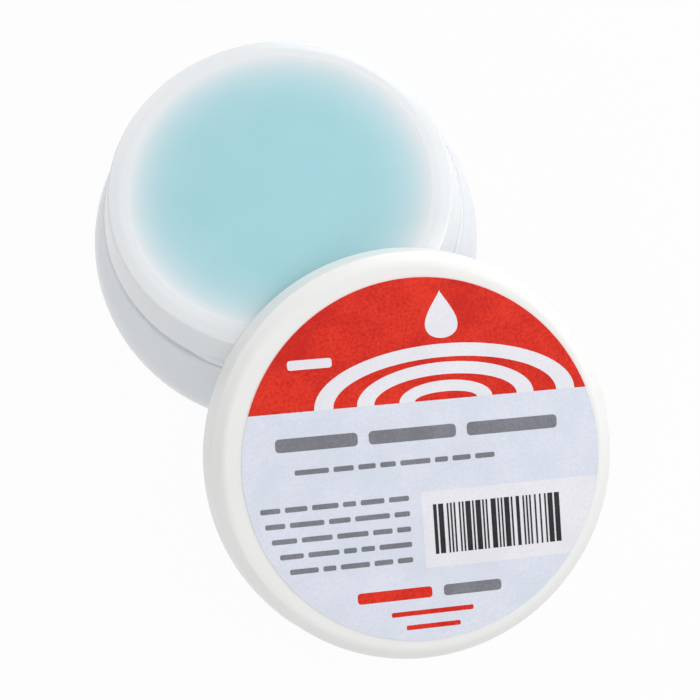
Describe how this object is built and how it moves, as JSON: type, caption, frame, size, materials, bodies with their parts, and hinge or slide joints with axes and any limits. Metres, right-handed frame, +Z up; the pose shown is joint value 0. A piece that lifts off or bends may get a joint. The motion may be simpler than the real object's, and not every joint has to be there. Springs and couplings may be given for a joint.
{
  "type": "finger moistener",
  "caption": "Low round plastic jar of pale blue moistening gel for fingertips, with its screw lid taken off and leaning on the rim.",
  "frame": {"origin": "centre of the jar's foot, on the table", "axes": "+Z up along the jar's axis, the lid leans on the rim towards -Y, +X to the right seen from the lid's side"},
  "size_m": [0.0528, 0.0882, 0.0299],
  "materials": {
    "jar_plastic": "satin moulded polypropylene, cool white",
    "cup_plastic": "satin moulded polypropylene, slightly translucent white",
    "gel": "soft translucent pale blue gel, slightly wet",
    "lid_plastic": "satin moulded polypropylene, warm white",
    "liner_foam": "matt foamed polyethylene sheet",
    "label_paper": "semi-gloss printed paper, red and lilac-grey"
  },
  "bodies": {
    "jar": {"outer_shell": "jar_plastic", "base_disc": "jar_plastic", "inner_cup": "cup_plastic", "gel_fill": "gel"},
    "liner": {"lid_liner": "liner_foam"},
    "lid": {"screw_lid": "lid_plastic", "lid_label": "label_paper"}
  },
  "joints": [
    {"name": "lid_lift", "type": "slide", "parent": "jar", "child": "liner", "axis": [0, -0.4833, 0.8754], "range_m": [0, 0.04]},
    {"name": "lid_turn", "type": "hinge", "parent": "liner", "child": "lid", "pos_m": [0, -0.03692, 0.01271], "axis": [0, -0.4833, 0.8754], "continuous": true}
  ]
}
